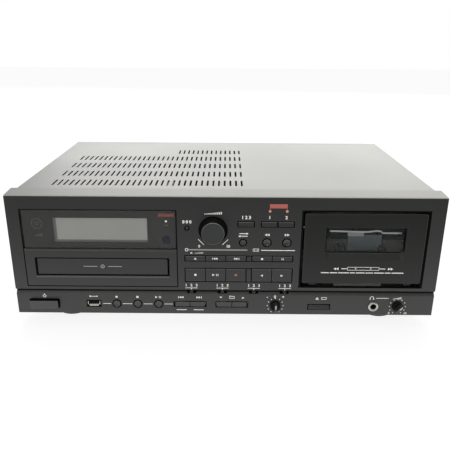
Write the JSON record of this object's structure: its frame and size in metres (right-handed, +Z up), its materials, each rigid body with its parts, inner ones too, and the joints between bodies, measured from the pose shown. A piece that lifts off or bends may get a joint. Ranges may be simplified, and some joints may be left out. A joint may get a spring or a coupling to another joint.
{
  "type": "cd cassette deck",
  "caption": "Full-width hi-fi disc recorder and cassette deck with a sliding disc tray, a hinged cassette door, push keys, rotary knobs and a vented steel cover.",
  "frame": {"origin": "bottom centre of the whole object, level with the undersides of the feet", "axes": "+X to the right seen from the front, +Y to the back, +Z up"},
  "size_m": [0.435, 0.2838, 0.145],
  "materials": {
    "fascia": "satin",
    "key": "satin",
    "knob": "satin",
    "cover": "satin",
    "smoked_window": "gloss",
    "clear_window": "gloss",
    "plated_steel": "satin",
    "inner_plastic": "satin",
    "circuit_board": "satin",
    "socket_metal": "gloss",
    "transformer": "satin",
    "foot": "matte"
  },
  "bodies": {
    "case": {"front_panel": "fascia", "display_window": "smoked_window", "display_board": "circuit_board", "chassis": "plated_steel", "top_cover": "cover", "rear_panel": "cover", "foot_front_left": "foot", "foot_front_right": "foot", "foot_rear_left": "foot", "foot_rear_right": "foot", "phones_jack": "socket_metal", "usb_socket": "socket_metal", "rear_jack_block": "inner_plastic", "mains_inlet": "inner_plastic", "main_board": "circuit_board", "power_transformer": "transformer", "disc_drive_frame": "inner_plastic", "tape_mechanism_plate": "plated_steel"},
    "tray": {"disc_tray": "inner_plastic", "tray_front": "fascia"},
    "door": {"cassette_door": "fascia", "door_window": "clear_window", "cassette_holder": "inner_plastic"},
    "disc_spindle": {"disc_spindle": "plated_steel"},
    "reel_spindle_left": {"reel_spindle_left": "inner_plastic"},
    "reel_spindle_right": {"reel_spindle_right": "inner_plastic"},
    "capstan_left": {"capstan_left": "plated_steel"},
    "capstan_right": {"capstan_right": "plated_steel"},
    "head_block": {"head_block": "plated_steel"},
    "record_level_knob": {"record_level_knob": "knob"},
    "pitch_knob": {"pitch_knob": "knob"},
    "phones_level_knob": {"phones_level_knob": "knob"},
    "timer_switch": {"timer_switch": "key"},
    "record_start_switch": {"record_start_switch": "key"},
    "reverse_mode_switch": {"reverse_mode_switch": "key"},
    "noise_filter_switch": {"noise_filter_switch": "key"},
    "disc_eject_key": {"disc_eject_key": "key"},
    "disc_back_key": {"disc_back_key": "key"},
    "disc_forward_key": {"disc_forward_key": "key"},
    "tape_stop_key": {"tape_stop_key": "key"},
    "tape_pause_key": {"tape_pause_key": "key"},
    "disc_stop_key": {"disc_stop_key": "key"},
    "disc_play_key": {"disc_play_key": "key"},
    "disc_record_key": {"disc_record_key": "key"},
    "tape_reverse_key": {"tape_reverse_key": "key"},
    "tape_play_key": {"tape_play_key": "key"},
    "counter_reset_button": {"counter_reset_button": "key"},
    "repeat_button": {"repeat_button": "key"},
    "source_button": {"source_button": "key"},
    "memory_record_button": {"memory_record_button": "key"},
    "tape_record_button": {"tape_record_button": "key"},
    "tape_rewind_button": {"tape_rewind_button": "key"},
    "tape_wind_button": {"tape_wind_button": "key"},
    "power_button": {"power_button": "key"},
    "tape_eject_button": {"tape_eject_button": "key"},
    "usb_record_button": {"usb_record_button": "key"},
    "usb_stop_button": {"usb_stop_button": "key"},
    "usb_play_button": {"usb_play_button": "key"},
    "skip_rocker": {"skip_rocker": "key"},
    "folder_rocker": {"folder_rocker": "key"}
  },
  "joints": [
    {"name": "tray_slide", "type": "slide", "parent": "case", "child": "tray", "axis": [0, -1, 0], "range_m": [0, 0.14]},
    {"name": "door_hinge", "type": "hinge", "parent": "case", "child": "door", "pos_m": [0.1392, -0.12445, 0.0509], "axis": [1, 0, 0], "range_deg": [0, 28]},
    {"name": "disc_spin", "type": "hinge", "parent": "case", "child": "disc_spindle", "pos_m": [-0.1255, -0.04915, 0.04965], "axis": [0, 0, 1], "continuous": true},
    {"name": "reel_left_spin", "type": "hinge", "parent": "case", "child": "reel_spindle_left", "pos_m": [0.11795, -0.11045, 0.0849], "axis": [0, 1, 0], "continuous": true},
    {"name": "reel_right_spin", "type": "hinge", "parent": "case", "child": "reel_spindle_right", "pos_m": [0.16045, -0.11045, 0.0849], "axis": [0, 1, 0], "continuous": true},
    {"name": "capstan_left_spin", "type": "hinge", "parent": "case", "child": "capstan_left", "pos_m": [0.1062, -0.11045, 0.0632], "axis": [0, 1, 0], "continuous": true},
    {"name": "capstan_right_spin", "type": "hinge", "parent": "case", "child": "capstan_right", "pos_m": [0.1722, -0.11045, 0.0632], "axis": [0, 1, 0], "continuous": true},
    {"name": "head_slide", "type": "slide", "parent": "case", "child": "head_block", "axis": [0, 0, 1], "range_m": [0, 0.005]},
    {"name": "record_level_knob_turn", "type": "hinge", "parent": "case", "child": "record_level_knob", "pos_m": [-0.01248, -0.13145, 0.1084], "axis": [0, 1, 0], "range_deg": [-150, 150]},
    {"name": "pitch_knob_turn", "type": "hinge", "parent": "case", "child": "pitch_knob", "pos_m": [0.05251, -0.13145, 0.0244], "axis": [0, 1, 0], "range_deg": [-150, 150]},
    {"name": "phones_level_knob_turn", "type": "hinge", "parent": "case", "child": "phones_level_knob", "pos_m": [0.18048, -0.13145, 0.0244], "axis": [0, 1, 0], "range_deg": [-150, 150]},
    {"name": "timer_switch_slide", "type": "slide", "parent": "case", "child": "timer_switch", "axis": [1, 0, 0], "range_m": [-0.0022, 0.0022]},
    {"name": "record_start_switch_slide", "type": "slide", "parent": "case", "child": "record_start_switch", "axis": [1, 0, 0], "range_m": [-0.0022, 0.0022]},
    {"name": "reverse_mode_switch_slide", "type": "slide", "parent": "case", "child": "reverse_mode_switch", "axis": [1, 0, 0], "range_m": [-0.0022, 0.0022]},
    {"name": "noise_filter_switch_slide", "type": "slide", "parent": "case", "child": "noise_filter_switch", "axis": [1, 0, 0], "range_m": [-0.0022, 0.0022]},
    {"name": "disc_eject_key_press", "type": "slide", "parent": "case", "child": "disc_eject_key", "axis": [0, 1, 0], "range_m": [0, 0.0008], "stiffness_N_per_m": 400},
    {"name": "disc_back_key_press", "type": "slide", "parent": "case", "child": "disc_back_key", "axis": [0, 1, 0], "range_m": [0, 0.0008], "stiffness_N_per_m": 400},
    {"name": "disc_forward_key_press", "type": "slide", "parent": "case", "child": "disc_forward_key", "axis": [0, 1, 0], "range_m": [0, 0.0008], "stiffness_N_per_m": 400},
    {"name": "tape_stop_key_press", "type": "slide", "parent": "case", "child": "tape_stop_key", "axis": [0, 1, 0], "range_m": [0, 0.0008], "stiffness_N_per_m": 400},
    {"name": "tape_pause_key_press", "type": "slide", "parent": "case", "child": "tape_pause_key", "axis": [0, 1, 0], "range_m": [0, 0.0008], "stiffness_N_per_m": 400},
    {"name": "disc_stop_key_press", "type": "slide", "parent": "case", "child": "disc_stop_key", "axis": [0, 1, 0], "range_m": [0, 0.0008], "stiffness_N_per_m": 400},
    {"name": "disc_play_key_press", "type": "slide", "parent": "case", "child": "disc_play_key", "axis": [0, 1, 0], "range_m": [0, 0.0008], "stiffness_N_per_m": 400},
    {"name": "disc_record_key_press", "type": "slide", "parent": "case", "child": "disc_record_key", "axis": [0, 1, 0], "range_m": [0, 0.0008], "stiffness_N_per_m": 400},
    {"name": "tape_reverse_key_press", "type": "slide", "parent": "case", "child": "tape_reverse_key", "axis": [0, 1, 0], "range_m": [0, 0.0008], "stiffness_N_per_m": 400},
    {"name": "tape_play_key_press", "type": "slide", "parent": "case", "child": "tape_play_key", "axis": [0, 1, 0], "range_m": [0, 0.0008], "stiffness_N_per_m": 400},
    {"name": "counter_reset_button_press", "type": "slide", "parent": "case", "child": "counter_reset_button", "axis": [0, 1, 0], "range_m": [0, 0.0006], "stiffness_N_per_m": 400},
    {"name": "repeat_button_press", "type": "slide", "parent": "case", "child": "repeat_button", "axis": [0, 1, 0], "range_m": [0, 0.0008], "stiffness_N_per_m": 400},
    {"name": "source_button_press", "type": "slide", "parent": "case", "child": "source_button", "axis": [0, 1, 0], "range_m": [0, 0.0008], "stiffness_N_per_m": 400},
    {"name": "memory_record_button_press", "type": "slide", "parent": "case", "child": "memory_record_button", "axis": [0, 1, 0], "range_m": [0, 0.0008], "stiffness_N_per_m": 400},
    {"name": "tape_record_button_press", "type": "slide", "parent": "case", "child": "tape_record_button", "axis": [0, 1, 0], "range_m": [0, 0.0008], "stiffness_N_per_m": 400},
    {"name": "tape_rewind_button_press", "type": "slide", "parent": "case", "child": "tape_rewind_button", "axis": [0, 1, 0], "range_m": [0, 0.0008], "stiffness_N_per_m": 400},
    {"name": "tape_wind_button_press", "type": "slide", "parent": "case", "child": "tape_wind_button", "axis": [0, 1, 0], "range_m": [0, 0.0008], "stiffness_N_per_m": 400},
    {"name": "power_button_press", "type": "slide", "parent": "case", "child": "power_button", "axis": [0, 1, 0], "range_m": [0, 0.003], "stiffness_N_per_m": 400},
    {"name": "tape_eject_button_press", "type": "slide", "parent": "case", "child": "tape_eject_button", "axis": [0, 1, 0], "range_m": [0, 0.0015], "stiffness_N_per_m": 400},
    {"name": "usb_record_button_press", "type": "slide", "parent": "case", "child": "usb_record_button", "axis": [0, 1, 0], "range_m": [0, 0.001], "stiffness_N_per_m": 400},
    {"name": "usb_stop_button_press", "type": "slide", "parent": "case", "child": "usb_stop_button", "axis": [0, 1, 0], "range_m": [0, 0.001], "stiffness_N_per_m": 400},
    {"name": "usb_play_button_press", "type": "slide", "parent": "case", "child": "usb_play_button", "axis": [0, 1, 0], "range_m": [0, 0.001], "stiffness_N_per_m": 400},
    {"name": "skip_rocker_tip", "type": "hinge", "parent": "case", "child": "skip_rocker", "pos_m": [-0.03676, -0.12755, 0.0254], "axis": [0, 0, 1], "range_deg": [-2.5, 2.5], "stiffness_Nm_per_rad": 0.05},
    {"name": "folder_rocker_tip", "type": "hinge", "parent": "case", "child": "folder_rocker", "pos_m": [0.007, -0.12755, 0.0254], "axis": [0, 0, 1], "range_deg": [-2.5, 2.5], "stiffness_Nm_per_rad": 0.05}
  ],
  "couplings": [
    {"joint": "capstan_right_spin", "follows": "capstan_left_spin", "ratio": -1}
  ]
}
